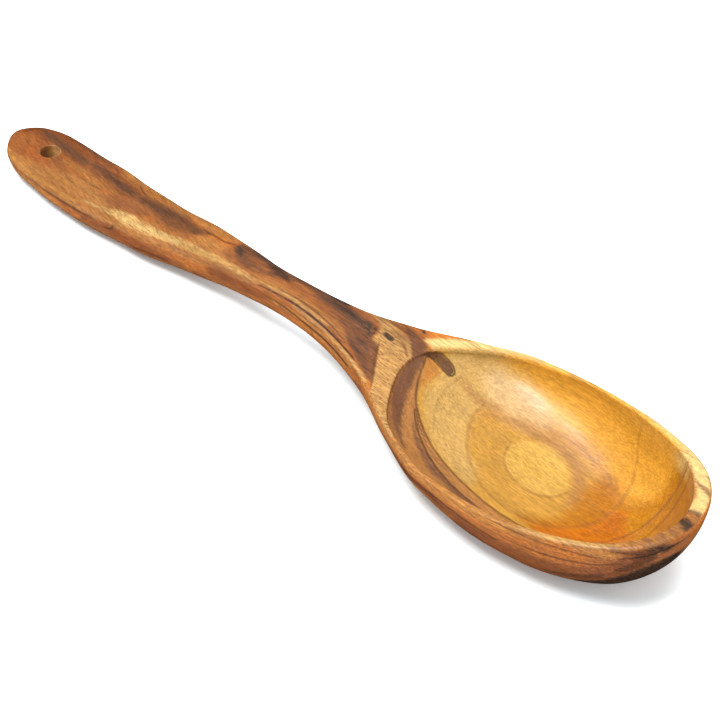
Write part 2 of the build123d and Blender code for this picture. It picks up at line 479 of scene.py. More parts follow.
TOP_MARKS = [
    ("tan", 2.2, 3, 0.85, [
        [(8, -6), (20, -6), (34, -3), (44, 1), (56, -3.5), (62, -6), (70, -5), (80, -3), (92, -1.5),
         (97, 2.5), (109, 2), (112, -2), (125, -2.5), (130, -7), (110, -10), (90, -12), (60, -16),
         (30, -16), (10, -13)],
        [(48, 9.5), (60, 8), (75, 8.2), (95, 5), (108, 4.5), (110, 8), (111, 12), (90, 14), (50, 16)],
        [(118, -1.6), (132, -1.4), (150, -1.6), (166, -2.4), (172, -6.4), (160, -5.6), (150, -4.6),
         (128, -4.6)],
    ], [[(150, 9, 0.4), (160, 8.4, 1.2), (168, 9.6, 1.2), (176, 12, 1)]]),
    ("mahogany", 2.6, 2.4, 0.9, [
        [(-2, 3), (5, 6), (16, 6.6), (30, 7.8), (38, 10), (45, 12), (40, 17), (10, 17), (-2, 12)],
    ]),
    ("gold", 2, 2.4, 0.6, [], [
        [(28, 1.6, 0.4), (38, 1.8, 1.4), (50, 1.2, 1.2), (56, 0.4, 0.2)],
        [(14, -7.4, 0.4), (20, -7.6, 1.2), (28, -8.4, 0.8), (36, -6, 0.6), (46, -5.6, 1.2),
         (54, -6.6, 0.4)],
        [(94, 0.6, 0.4), (101, 0.8, 1.6), (108, 0.6, 0.4)],
    ]),
    ("haze", 2.4, 2, 0.8, [], [
        [(57, -3, 1.5), (66, -2.6, 2.6), (72, -1.4, 2)],
        [(80, 0, 2), (92, -0.6, 2)],
        [(110, -0.5, 0.6), (115, -0.8, 0.8), (122, -2, 0.8)],
        [(14, 4, 1.5), (26, -0.5, 2), (34, -3, 0.5)],
        [(24, 12, 0.8), (40, 11.5, 1.5), (48, 10, 0.3)],
        [(30, 3.4, 0.4), (46, 3.6, 1.6), (62, 2.6, 1.6), (74, 1.2, 0.6)],
    ]),
    ("smoke", 2, 1.6, 0.9, [], [
        [(24, 13, 0.4), (34, 12.4, 0.9), (42, 12.2, 0.4)],
        [(5, 10.6, 1.2), (14, 9.2, 2.3), (22, 7.8, 2.7), (31, 6.1, 2.4), (37, 6.6, 1.6), (44, 6, 2.2),
         (52, 5, 2.3), (60, 4.5, 2.2), (66, 4.1, 2.1), (72, 4.1, 2.5), (80, 3.2, 3.5), (88, 2.8, 3.9),
         (93, 2.4, 3.1), (98, 4, 0.8)],
    ]),
    ("umber", 0.9, 1.3, 0.94, [
        [(110.6, 5.5), (112, 7.4), (120, 6.9), (130, 6), (140, 5.8), (150, 7.2), (158, 8.6), (163, 6.8),
         (166, 6.6), (172, 6.4), (174, 3.4), (174, 0.6), (177.8, 0.4), (180.2, -4), (184.2, -10),
         (186.4, -14), (178, -10.6), (172, -7.6), (168, -5), (166, -2.6), (158, 0.4), (150, 1.2),
         (142, 2.8), (134, 0.4), (127, -0.6), (122, -2), (117, -1), (113, 0.6), (111, 3)],
    ]),
    ("umber", 0.9, 1.2, 0.6, [], [
        [(170, -2.2, 0.4), (175, -4.4, 1.6), (179, -8, 1.2), (184, -13, 0.5)],
        [(150, 4.2, 0.4), (156, 3.2, 1)],
        [(112, 6.2, 0.8), (128, 4.2, 1.4), (136, 3.4, 1)],
        [(150, -1, 0.2), (160, -1.2, 0.6), (168, -3, 0.3)],
    ]),
    ("haze", 0.8, 1, 0.7, [], [
        [(121, -1.4, 0.3), (125, -1.6, 0.9), (129, -0.8, 0.3)],
        [(132, 1.2, 0.4), (142, 1.8, 1.4), (152, 1.6, 1.2), (160, 1, 0.8), (168, 0.8, 0.4)],
        [(176.4, -2.4, 0.3), (179.6, -6.6, 0.8), (184, -12.6, 0.4)],
        [(160, 7.2, 0.8), (166, 6.8, 1.2), (170, 6.8, 0.3)],
    ]),
    ("charcoal", 1.8, 1.2, 0.55, [], [
        [(10, 9.4, 0.3), (18, 8.2, 1), (27, 6.4, 1.5), (36, 5.6, 0.5)],
        [(38, 7.6, 0.4), (47, 6.1, 1.3), (55, 4.5, 1.7), (62, 3.9, 0.8)],
        [(66, 4.3, 0.6), (73, 3.9, 1.8), (78, 3.5, 2), (84, 4.6, 1.2), (90, 3.6, 0.8), (94, 2, 1)],
    ]),
    ("charcoal", 1.1, 1.2, 0.85, [], [
        [(110.8, 5.2, 0.5), (112.6, 4.4, 1), (114.4, 2.6, 1.2), (116, 0.8, 0.3)],
        [(111.5, 6.2, 0.5), (118, 6.1, 0.7), (127, 5.5, 0.9)],
        [(126, 4.9, 0.6), (130, 4, 1.5), (134, 2.9, 1.6), (137, 2, 0.6)],
        [(136, 4.8, 0.3), (144, 4.7, 0.4), (150, 4.8, 0.7)],
        [(149, 5.4, 0.5), (154, 6, 1.4), (158, 6.8, 1.3), (160, 7.6, 0.4)],
        [(150, 3.6, 0.3), (156, 3.8, 1.1), (161, 4.4, 1.3), (166, 3.8, 1.4), (170.6, 3.9, 2),
         (172.6, 2.8, 1.3), (172.8, 1, 0.7)],
        [(170.6, -2.2, 0.3), (174, -3.2, 0.9), (177, -4.4, 0.4)],
        [(171, -6.4, 0.2), (175, -6.9, 0.8), (178, -8, 0.3)],
    ]),
    ("tan", 1.2, 1.6, 0.9, [
        [(283, -18), (290, -14), (293, -6), (293, 0.6), (303, 0.6), (303, -14), (292, -30), (283, -34),
         (276, -31)],
    ]),
    ("russet", 1.2, 1.6, 0.9, [
        [(167, 9.4), (176, 11.2), (183, 10), (187, 7.6), (191, 8), (190, 12), (187, 13.4), (186, 17),
         (176, 13.6), (168, 12)],
    ], [
        [(119, 2.6, 0.3), (124, 2, 0.8), (128, 1.4, 0.3)],
        [(139, 2.8, 0.2), (142, 3, 0.6), (147, 2.8, 0.2)],
        [(164, 11, 0.8), (175, 12, 1), (183, 13.2, 1.6), (187, 14.5, 0.4)],
        [(172, 9, 0.3), (184, 9.6, 0.5)],
    ]),
    ("gold", 1.2, 1.2, 0.9, [], [
        [(5, -5.5, 0.5), (12, -9, 0.9), (25, -11, 0.9), (36, -12, 0.6), (48, -12, 0.3)],
        [(200, -24, 0.8), (212, -29.3, 1.6), (230, -33.4, 1.8), (250, -33.8, 1.8), (264, -32, 1.6),
         (278, -27.2, 1)],
    ]),
    ("straw", 0.7, 0.9, 0.95, [
        [(166, 9.8), (172, 8.2), (174.6, 5), (174, 0.6), (177.9, 0.3), (180.4, -4), (184.5, -10),
         (187.6, -17), (192, -20), (199, -26), (206, -29), (204, -20), (196, -12), (191.5, -6), (191, 2),
         (192, 8), (186, 9.2), (180, 9.8), (175, 11), (168, 11)],
    ], [
        [(76, -7.6, 1), (90, -5.6, 1.9), (102, -4.9, 1.9), (112, -4.4, 1.2), (122, -4.8, 0.8),
         (130, -5, 0.4)],
        [(130, -4.2, 0.2), (142, -4, 0.6), (150, -4, 0.5), (160, -5.2, 0.2)],
        [(146, -5.9, 0.2), (152, -6.4, 0.35), (160, -7.4, 0.5), (170, -9.7, 0.6), (177, -11.9, 0.9),
         (184, -14.8, 1)],
        [(258, -32.8, 0.6), (268, -30.6, 1.1), (280, -26.6, 0.9), (286, -23, 0.3)],
    ]),
    ("cream", 0.9, 0.9, 0.95, [
        [(186, 13.4), (188, 12.2), (193, 12), (197, 14), (205, 20), (240, 26), (280, 20), (292, 6),
         (292, 0.4), (303, 0.4), (303, 20), (286, 32), (240, 38), (205, 30)],
    ]),
    ("sand", 1.3, 1.6, 0.95, [
        [(60, -8.2), (64, -6), (70, -4.8), (75, -5.8), (84, -5.4), (92, -4.6), (95, -5.6), (86, -8),
         (76, -9.8), (68, -10)],
    ], [[(50, -9.8, 0.2), (57, -9.2, 0.5), (66, -8.6, 0.6)]]),
    ("walnut", 0.6, 1, 0.75, [], [
        [(166, 10.2, 0.2), (172, 9.3, 0.5), (180, 9, 0.6), (188, 8.6, 0.6)],
        [(170, 7.6, 0.1), (174, 6.9, 0.4), (181, 7.4, 0.3), (184, 6, 0.7), (187, 3.6, 0.3)],
        [(168, 11, 0.2), (176, 11.6, 0.5), (182, 12.6, 0.4)],
    ]),
    ("umber", 0.6, 0.8, 0.95, [], [
        [(180, 12.4, 0.5), (185, 11, 2), (188.2, 9, 2.9), (190.5, 5, 2)],
    ]),
    ("walnut", 0.8, 0.9, 0.85, [], [
        [(291, 12.2, 0.4), (295, 10.6, 1), (299, 9.6, 0.8)],
        [(291, 17, 0.1), (294.6, 15.6, 0.5)],
        [(293.6, 0.6, 0.5), (299, 0.4, 1.5), (302, 0.4, 2)],
    ]),
    ("walnut", 0.5, 0.7, 0.78, [], [
        [(292.6, -9, 0.1), (302, -10.2, 0.3)],
        [(291.4, -12, 0.1), (300, -14.6, 0.25)],
        [(289.2, -15.2, 0.1), (297, -19.4, 0.3)],
        [(286.4, -18.4, 0.1), (292, -23.4, 0.25)],
        [(283, -21.4, 0.1), (287, -26.2, 0.2)],
    ]),
    ("gold", 0.8, 0.9, 0.35, [], [
        [(292, -10.6, 0.3), (300, -12.6, 0.5)],
        [(287.6, -17.2, 0.3), (294, -22, 0.5)],
        [(284.6, -20, 0.3), (290, -25.4, 0.5)],
    ]),
    ("charcoal", 0.5, 0.7, 0.95, [], [
        [(176.6, 5.5, 1), (178.8, 5.1, 1.2)],
        [(183.6, 16.6, 0.2), (185, 15.4, 0.5)],
    ]),
    ("charcoal", 0.9, 1.4, 0.95, [], [
        [(292.4, -2.6, 0.4), (295.4, -4, 1.3), (299, -5.4, 2), (303, -6.4, 2.6)],
    ]),
]
HOLLOW_MARKS = [
    ("honey", 3, 2, 0.92, [
        [(192, 8), (192, -4), (200, -20), (240, -34), (256, -20), (262, -8), (264, 6), (262, 18),
         (256, 38), (205, 38), (190, 18)],
    ]),
    # The far wall's golden wood, brightened with painted light where the steep wall under the far lip lies
    # in shade.
    ("far_wall_gold_and_painted_light", 3, 2, 0.9, [
        [(206, 27), (216, 24), (240, 22), (258, 17), (268, 14), (280, 14), (280, 24), (266, 36), (206, 38)],
    ]),
    ("wheat", 2.4, 1.6, 0.85, [
        [(194, 22), (197.5, 10), (197.6, 1), (203, -7), (214, -14), (230, -17), (230, -11), (219, -4),
         (214.5, 3), (213.5, 9), (217, 17), (230, 22), (226, 28), (210, 28)],
    ]),
    # Paler pinkish wood with a painted highlight laid into the colour, where the far wall of the hollow
    # shines.
    ("pale_wood_and_painted_highlight", 3.6, 1.4, 0.75, [
        [(206, 21), (213, 15), (224, 14), (234, 17), (236, 22), (230, 26), (216, 26)],
    ]),
    ("honey_brown", 2.4, 2, 0.75, [], [
        [(214, 10, 0.6), (222, 14, 1.6), (232, 17.5, 2.4), (246, 17.5, 2.4), (254, 12, 2.6), (257, 4, 2.2)],
        [(203, 13, 0.4), (210, 12, 1.2), (218, 15, 1.4)],
        [(234, 20, 0.6), (244, 21.4, 2), (256, 20.4, 1.8), (264, 16, 0.4)],
    ]),
    ("core", 1.8, 1.2, 0.9, [
        [(228.8, 7), (230, 2), (234, -1.4), (240, -2.8), (246, -2), (251, 1.5), (253, 6), (252, 10),
         (247, 14), (240, 16), (233, 13.6), (230, 10.6)],
    ]),
    ("ember", 3, 2, 0.85, [
        [(257, 13), (258, 3), (257, -5), (252, -10), (246, -13.8), (254, -15), (263, -10.4), (268, -3),
         (269.6, 8), (267, 16), (260, 18)],
    ]),
    ("deep_amber", 2, 1.2, 0.95, [
        [(269.6, 9), (268, 1.5), (264, -4), (258, -9), (253, -12.4), (253, -15), (262, -16), (280, -10),
         (290, -2), (284, 0), (278, 2.6), (274.6, 6), (272.8, 10)],
    ]),
    ("rust", 2.4, 1.4, 0.7, [], [
        [(293, 10, 1.2), (291, 3, 2.2), (286, -4, 2.4), (279, -10, 1.8), (270, -15, 1)],
    ]),
    ("rust", 1.6, 1.4, 0.8, [
        [(191, 10.5), (197.5, 10), (197, 4), (196.2, -1), (193, 3)],
        [(286, 22), (292, 12), (294, 2), (286, 2), (284.4, 10)],
    ], [
        [(284, 20, 0.6), (283.4, 12, 1), (282, 5, 1.2), (279, -2, 1.2), (272, -10, 1.2)],
    ]),
    ("tan_brown", 1, 1.4, 0.92, [
        [(189, 8), (192.6, 7.6), (195, 0.5), (199, -5.6), (205, -10), (213, -13.6), (222, -16),
         (232, -17.3), (242, -17.6), (252, -16.6), (262, -18), (256, -30), (235, -36), (210, -32),
         (196, -22), (188, -8)],
    ]),
    ("cocoa", 1, 1.3, 0.92, [], [
        [(189.6, 9.6, 1.6), (190.6, 3, 1.9), (192.2, -4, 2.3), (195, -10.4, 2.4), (199, -16.4, 1.8),
         (204, -20.6, 0.8), (208, -23, 0.2)],
        [(203, -12, 0.2), (209, -16.9, 0.8), (217, -20.6, 1.3), (228, -22.4, 1.1), (240, -22.4, 0.6)],
    ]),
    ("umber", 0.8, 1, 0.6, [], [
        [(191, 2, 0.4), (193.4, -5, 0.7), (196.4, -11, 0.8), (200.6, -16.6, 0.3)],
    ]),
    ("knot", 0.45, 0.5, 0.9, [], [
        [(189.6, 9.4, 1.4), (191.6, 10.6, 1), (194, 12.2, 1.3), (197.2, 12.6, 1.8), (198.8, 12.2, 1.5)],
    ]),
    ("cocoa", 0.8, 0.8, 0.6, [], [[(195.4, 12, 0.4), (198.4, 12, 0.7)]]),
]
MARKS = [Mark(zone, *row) for zone, rows in (
    ("side", SIDE_MARKS), ("edge", EDGE_MARKS), ("bore", BORE_MARKS), ("top", TOP_MARKS),
    ("hollow", HOLLOW_MARKS),
) for row in rows]

# Thin dark lines: strength, then a path with its half width at each point.
TOP_LINES = [
    (0.95, [(130, -5.7, 0.05), (138, -5.3, 0.2), (146, -5.3, 0.3), (152, -5.5, 0.3), (160, -6.4, 0.25),
            (168, -8, 0.25), (175, -10, 0.1)]),
    (0.6, [(138, -3.2, 0.05), (150, -3, 0.15), (160, -4.2, 0.2), (168, -6.2, 0.1)]),
    (0.55, [(177.6, 0.2, 0.3), (180, -4, 0.3), (184, -10, 0.3), (187, -15, 0.2)]),
    (0.6, [(95, 4.6, 0.1), (100, 4.3, 0.3), (106, 3.8, 0.3), (110, 5, 0.1)]),
    (0.6, [(60, 9, 0.05), (62.4, 7.6, 0.2), (65, 6.4, 0.05)]),
    (0.45, [(34, -3.6, 0.05), (37, -4.8, 0.15), (40, -5.4, 0.05)]),
    (0.4, [(40, -1.6, 0.05), (46, -2.2, 0.15), (50, -1.8, 0.05)]),
    (0.5, [(56, -8.2, 0.05), (60, -9.6, 0.15), (64, -10.4, 0.05)]),
    (0.5, [(166, 10.4, 0.1), (174, 10.6, 0.25), (181, 11.2, 0.2)]),
]
RING_LINES = [
    (0.28, [(213.6, 13, 0.1), (213.2, 9, 0.3), (214.5, 4, 0.4), (218, -2, 0.4), (223, -7.5, 0.4),
            (230, -12, 0.4), (238, -14, 0.4), (247, -13.6, 0.4), (255, -11, 0.4), (262, -6, 0.5),
            (267, 1, 0.5), (269.2, 8, 0.5), (269.2, 16, 0.5), (267, 23, 0.3), (262, 29, 0.1)]),
    (0.3, [(228.6, 8, 0.2), (230, 2, 0.4), (234, -1.6, 0.5), (240, -3.1, 0.5), (246, -2.3, 0.5),
           (251, 1, 0.4), (253.4, 6, 0.2)]),
    (0.5, [(284.6, 21, 0.2), (283, 12, 0.35), (280, 4, 0.35), (275, -3, 0.35), (268, -9.6, 0.3),
           (258, -15, 0.1)]),
    (0.45, [(286.8, 16, 0.2), (286, 8, 0.3), (283, -1, 0.3), (277, -9, 0.3), (268, -17, 0.2)]),
]
HOLLOW_LINES = [
    (0.6, [(191.2, 9, 0.1), (193.4, 3, 0.2), (196, -2, 0.25), (199, -6, 0.3), (205, -10.3, 0.3),
           (213, -13.9, 0.25), (222, -16.1, 0.25), (232, -17.4, 0.3), (242, -17.7, 0.3),
           (250, -16.8, 0.25), (262, -14, 0.1)]),
    (0.8, [(191.4, 9.7, 0.1), (193.4, 10.4, 0.15), (197, 10.6, 0.2), (199.6, 10.6, 0.2), (200.8, 12, 0.2),
           (200.2, 13.8, 0.2), (197.4, 14.6, 0.2), (194, 14, 0.15), (192, 12.2, 0.1)]),
    (0.7, [(200.6, -8.4, 0.1), (203, -11, 0.25), (208, -14.4, 0.3), (213, -17.2, 0.3), (220, -19.6, 0.3),
           (228, -21.4, 0.3), (238, -21.6, 0.1)]),
    (0.15, [(202.6, 14, 0.2), (201.6, 6, 0.3), (204, -2, 0.3), (208.6, -8, 0.2)]),
]
SIDE_LINES = [
    (0.8, [(138, 20.2, 0.1), (150, 19.8, 0.3), (160, 19.4, 0.4), (174, 19.2, 0.2)]),
    (0.7, [(64, 9.8, 0.1), (66.6, 10.6, 0.3), (67.4, 12.2, 0.3), (66.6, 13.2, 0.1)]),
    (0.7, [(224, 17.3, 0.1), (232, 18.3, 0.3), (242, 18, 0.3), (252, 17.7, 0.1)]),
    (0.6, [(258, 21, 0.1), (268, 22, 0.3), (280, 24.4, 0.3), (287, 27.6, 0.1)]),
    (0.5, [(248, 25.2, 0.1), (262, 26.4, 0.3), (276, 28.2, 0.3), (282, 28.8, 0.1)]),
    (0.8, [(289, 31, 0.2), (294, 32.4, 0.4), (298, 34.4, 0.4)]),
    (0.6, [(24, 8.8, 0.1), (40, 10, 0.25), (56, 11, 0.1)]),
]

# Each set of lines: its zone, its colour, and the lines. A line's strength dies out sideways over
# LINE_FADE.
LINES = [
    ("top", "line", TOP_LINES), ("hollow", "ring_line", RING_LINES), ("hollow", "line", HOLLOW_LINES),
    ("side", "line", SIDE_LINES),
]
LINE_FADE = (1.2, 2.2)
# Where no line is near.
NO_LINE_OFFSET = 9.0
NO_LINE_WIDTH = 0.1

# Where the open pores show most: how strongly, and a band as above.
PORES = [
    (1.0, [(170, 6, 5), (182, 0, 9), (190, -12, 6), (202, -24, 4), (214, -30, 2)]),
    (0.35, [(204, 8, 3), (206, -2, 4), (212, -8, 3), (222, -12, 3)]),
    (0.3, [(232, 4, 7), (246, 6, 7)]),
    (0.25, [(225, 27, 4), (245, 26, 5), (262, 18, 4)]),
    (0.6, [(216, -30, 3), (240, -33, 3), (262, -32, 3)]),
    (0.65, [(30, -4, 7), (60, -5, 7), (100, -2, 7)]),
    (0.8, [(66, -9, 2), (84, -8, 2), (100, -7, 2), (120, -5, 2), (150, -6, 2)]),
]
PORE_FADE = 2.0
# On the outer side, the pores are this strong at the handle's end, and grow over a stretch.
SIDE_PORES = 0.35
MORE_SIDE_PORES = 0.45
SIDE_PORE_GROWTH = (50, 100)

# The grain leaves about half of each colour, so a pale one may stand above 1 here.
# Three colours paint light as well as wood: the far wall's brightened gold, the pinkish patch under the
# hollow's highlight, and the lit part of the hole's wall.
PALETTE = {
    "russet": (0.415, 0.13, 0.026), "sienna": (0.6, 0.175, 0.022), "sienna_light": (0.79, 0.22, 0.015),
    "sienna_dark": (0.42, 0.105, 0.014), "honey_side": (0.79, 0.31, 0.052),
    "walnut_side": (0.19, 0.05, 0.011), "soot": (0.07, 0.032, 0.017), "tan": (0.465, 0.19, 0.044),
    "mahogany": (0.26, 0.064, 0.011), "haze": (0.29, 0.1, 0.031), "smoke": (0.215, 0.078, 0.027),
    "umber": (0.215, 0.084, 0.037), "charcoal": (0.075, 0.044, 0.031), "walnut": (0.25, 0.1, 0.04),
    "gold": (0.62, 0.275, 0.058), "straw": (0.66, 0.36, 0.106), "cream": (0.95, 0.68, 0.255),
    "sand": (0.76, 0.48, 0.165), "cocoa": (0.225, 0.098, 0.05), "knot": (0.13, 0.05, 0.022),
    "end_grain_and_painted_light": (1.3, 0.72, 0.27), "amber": (0.7, 0.27, 0.005), "honey": (0.7, 0.365, 0.058),
    "far_wall_gold_and_painted_light": (1.03, 0.48, 0.044), "pale_wood_and_painted_highlight": (0.86, 0.56, 0.25), "wheat": (0.72, 0.445, 0.132),
    "honey_brown": (0.52, 0.24, 0.066), "core": (0.9, 0.53, 0.098), "ember": (0.57, 0.195, 0.004),
    "deep_amber": (0.68, 0.185, 0.002), "rust": (0.6, 0.22, 0.036), "tan_brown": (0.51, 0.215, 0.064),
    "line": (0.07, 0.03, 0.014), "ring_line": (0.3, 0.12, 0.03), "pore": (0.15, 0.055, 0.018),
}

# The middle of the growth rings in the hollow, and how much longer than wide they are.
CORE_X = 241.0
CORE_Y = 6.0
CORE_STRETCH = 1.4
# How many rings there are to a millimetre, and how much darker and lighter they are.
RING_SCALE = 0.9
RING_SHADE = 0.05
RING_LIGHT = 0.04
# The handle's fibres lean by this angle, as far as this stretch, where it fades out.
LEAN_ANGLE = 19
LEAN_FADE = (100, 122)
# How much the fine noise adds to the long noise that frays the marks' edges.
FINE_WANDER_SHARE = 0.6
# How softly the zones meet.
HOLLOW_EDGE = (-0.1, 0.15)
SIDE_EDGE = (-0.6, 0.4)
# The lines wiggle by this share of the fine noise, and their edges run from the core to the blur.
LINE_WIGGLE = 0.5
LINE_CORE = 0.15
LINE_BLUR = 0.45
# How much of the fibres' contrast shows in the hollow, and how much smoother the hollow is.
HOLLOW_FIBRES = 0.4
HOLLOW_POLISH = 0.06
PORE_EDGE = (0.53, 0.64)
PORE_STRENGTH = 0.82
# The relief, in millimetres, and how strongly it shows.
FIBRE_HEIGHT = 0.06
LINE_DEPTH = 0.06
PORE_DEPTH = 0.05
BUMP_STRENGTH = 0.6


def rounded(path, closed):
    """The same path with its corners cut twice, which makes a smooth curve of it."""
    path = np.array(path, float)
    for _ in range(2):
        after = np.roll(path, -1, axis=0)
        cut = np.stack([0.75 * path + 0.25 * after, 0.25 * path + 0.75 * after], 1)
        if closed:
            path = cut.reshape(-1, path.shape[1])
        else:
            path = np.concatenate([path[:1], cut[:-1].reshape(-1, path.shape[1]), path[-1:]])
    return path


def path_distance(plan, path):
    """How far each point is from a path, on which side, and the path's half width there."""
    path = np.array(path, float)
    best = np.full(len(plan), np.inf)
    side, width = np.ones(len(plan)), np.zeros(len(plan))
    for k in range(len(path) - 1):
        start, run = path[k, :2], path[k + 1, :2] - path[k, :2]
        length = np.hypot(*run)
        offset = plan - start
        share = offset @ run / length ** 2
        held = np.clip(share, 0, 1)
        gap = np.hypot(*(offset - held[:, None] * run).T)
        nearer = gap < best
        best[nearer] = gap[nearer]
        side[nearer] = np.sign(run[0] * offset[:, 1] - run[1] * offset[:, 0])[nearer]
        width[nearer] = (path[k, 2] + held * (path[k + 1, 2] - path[k, 2]))[nearer]
    return best, side, width


def inside_area(plan, outline_points):
    """The distance to a closed outline: positive inside it, and negative outside."""
    ring = rounded(outline_points, True)
    path = np.column_stack([np.concatenate([ring, ring[:1]]), np.zeros(len(ring) + 1)])
    gap = path_distance(plan, path)[0]
    inside = np.zeros(len(plan), bool)
    for (x0, y0, _), (x1, y1, _) in zip(path[:-1], path[1:]):
        spans = (y0 > plan[:, 1]) != (y1 > plan[:, 1])
        if y1 != y0:
            inside ^= spans & (plan[:, 0] < x0 + (plan[:, 1] - y0) * (x1 - x0) / (y1 - y0))
    return np.where(inside, gap, -gap)


def near_box(plan, points, margin):
    """Which points of the plan are within a margin of the box round some others."""
    corners = np.array([point[:2] for point in points])
    return ((plan > corners.min(0) - margin) & (plan < corners.max(0) + margin)).all(1)


def mark_field(plan, areas, bands):
    """How deep each point is inside the nearest of a mark's areas and bands."""
    field = np.full(len(plan), -MARK_RANGE)
    for area in areas:
        near = near_box(plan, area, MARK_RANGE)
        field[near] = np.maximum(field[near], inside_area(plan[near], area))
    for band in bands:
        near = near_box(plan, band, MARK_RANGE + BAND_MARGIN)
        gap, _, width = path_distance(plan[near], rounded(band, False))
        field[near] = np.maximum(field[near], width - gap)
    return held_in_range(field)


def held_in_range(field):
    return np.clip(field, -MARK_RANGE, MARK_RANGE)


def line_fields(plan, lines):
    """The signed offset from the nearest line, its half width, and how strong it is there."""
    offset = np.full(len(plan), NO_LINE_OFFSET)
    width, strength = np.full(len(plan), NO_LINE_WIDTH), np.zeros(len(plan))
    for power, path in lines:
        near = np.flatnonzero(near_box(plan, path, BAND_MARGIN))
        gap, side, half = path_distance(plan[near], rounded(path, False))
        closer = gap < np.abs(offset[near])
        chosen = near[closer]
        offset[chosen] = (gap * side)[closer]
        width[chosen] = half[closer]
        strength[chosen] = (power * (1 - ease(gap, *LINE_FADE)))[closer]
    return offset, width, strength


def pore_field(plan):
    """How strongly the open pores show at each point of the top face and the hollow."""
    field = np.zeros(len(plan))
    for power, band in PORES:
        gap, _, width = path_distance(plan, band)
        field = np.maximum(field, power * (1 - ease(gap, width - PORE_FADE, width + PORE_FADE)))
    return field


def zone_depths(points, normals):
    """How deep each point is inside the hollow and below the outer edge, in millimetres."""
    x = even_stations(HOLLOW_HALF_WIDTH, along_hollow, HOLLOW_START, HOLLOW_END, OUTLINE_STATIONS)
    ring = np.concatenate([hollow_outline(x, 1), hollow_outline(x, -1)[-2:0:-1]])
    near = (points[:, 0] > HOLLOW_START - MARK_RANGE) & (normals[:, 2] > STEEPEST_WALL)
    in_hollow = np.full(len(points), -MARK_RANGE)
    in_hollow[near] = inside_area(points[near, :2], ring)
    below = top_height(points[:, 0], points[:, 1]) - points[:, 2] - SIDE_DROP
    below = np.where(in_hollow > -LIP_MARGIN, -MARK_RANGE, below)
    return held_in_range(in_hollow), held_in_range(below)


def write_field(mesh, name, values):
    layer = mesh.attributes.new(name, "FLOAT", "POINT")
    layer.data.foreach_set("value", np.ascontiguousarray(values, np.float32))


def read_vectors(mesh, name):
    """A vector of every vertex, such as its place or its normal, as rows of three."""
    values = np.empty(len(mesh.vertices) * 3)
    mesh.vertices.foreach_get(name, values)
    return values.reshape(-1, 3)


def paint_fields(spoon, shift):
    """Write every field that the wood's material reads onto the mesh's points."""
    mesh = spoon.data
    points = read_vectors(mesh, "co") / MM - shift
    x, y = points[:, 0], points[:, 1]
    plan, side = points[:, :2], points[:, [0, 2]]
    hollow, below = zone_depths(points, read_vectors(mesh, "normal"))
    bore = BORE_REACH - np.hypot(x - HOLE_X, y - HOLE_Y)
    depths = {"hollow": hollow, "side": below, "edge": below, "bore": bore}
    depths["top"] = -np.maximum(hollow, below)
    write_field(mesh, "hollow", hollow)
    write_field(mesh, "side", below)
    for number, mark in enumerate(MARKS):
        field = mark_field(side if mark.zone == "side" else plan, mark.areas, mark.bands)
        border = BORDER_STEEPNESS * depths[mark.zone] + mark.softness
        write_field(mesh, f"mark_{number}", np.minimum(field, border))
    for number, (zone, _, lines) in enumerate(LINES):
        offset, width, strength = line_fields(side if zone == "side" else plan, lines)
        write_field(mesh, f"line_offset_{number}", offset)
        write_field(mesh, f"line_width_{number}", width)
        write_field(mesh, f"line_strength_{number}", strength * (depths[zone] > 0))
    side_pores = SIDE_PORES + MORE_SIDE_PORES * ease(x, *SIDE_PORE_GROWTH)
    write_field(mesh, "pores", np.where(below < 0, pore_field(plan), side_pores))
    write_field(mesh, "lean", 1 - ease(x, *LEAN_FADE))
    write_field(mesh, "ring", np.hypot((x - CORE_X) / CORE_STRETCH, y - CORE_Y))


# ---- The wood's material ----

